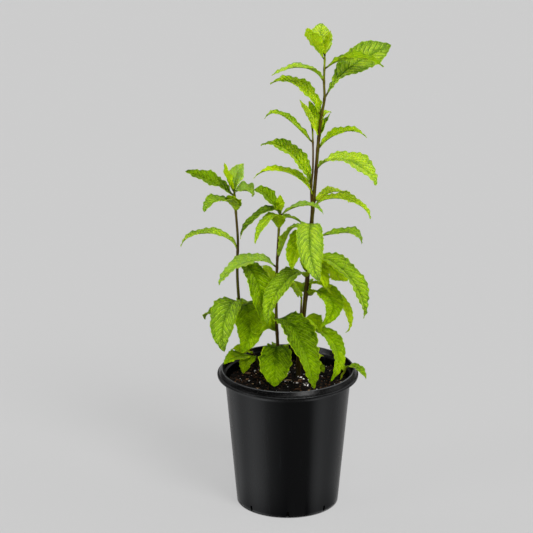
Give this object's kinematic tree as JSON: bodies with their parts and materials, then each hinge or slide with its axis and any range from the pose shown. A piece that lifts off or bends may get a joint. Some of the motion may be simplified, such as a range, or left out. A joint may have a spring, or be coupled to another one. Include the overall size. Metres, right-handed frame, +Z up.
{
  "type": "potted herb",
  "caption": "Upright leafy herb with slender stems and drooping veined leaves, growing from dark soil in a tapered round nursery pot with a beaded rim and drain slots.",
  "frame": {"origin": "middle of the pot's flat underside, where it rests", "axes": "+Z up along the pot's axis, +X to the right and +Y to the back as the plant is seen in its front view"},
  "size_m": [0.2407, 0.1705, 0.5726],
  "materials": {
    "pot_plastic": "black thin-walled nursery pot, satin, with faint scuffs and a slight sheen on the rim",
    "leaf": "living leaf, yellow-green to mid green, soft sheen, quilted between its veins",
    "potting_soil": "damp dark potting mix with white perlite and chips of bark"
  },
  "bodies": {
    "root": {"pot": "pot_plastic", "soil": "potting_soil", "tall_stem": "leaf", "middle_stem": "leaf", "left_stem": "leaf", "crown_seedling": "leaf", "edge_seedling": "leaf"}
  },
  "joints": []
}
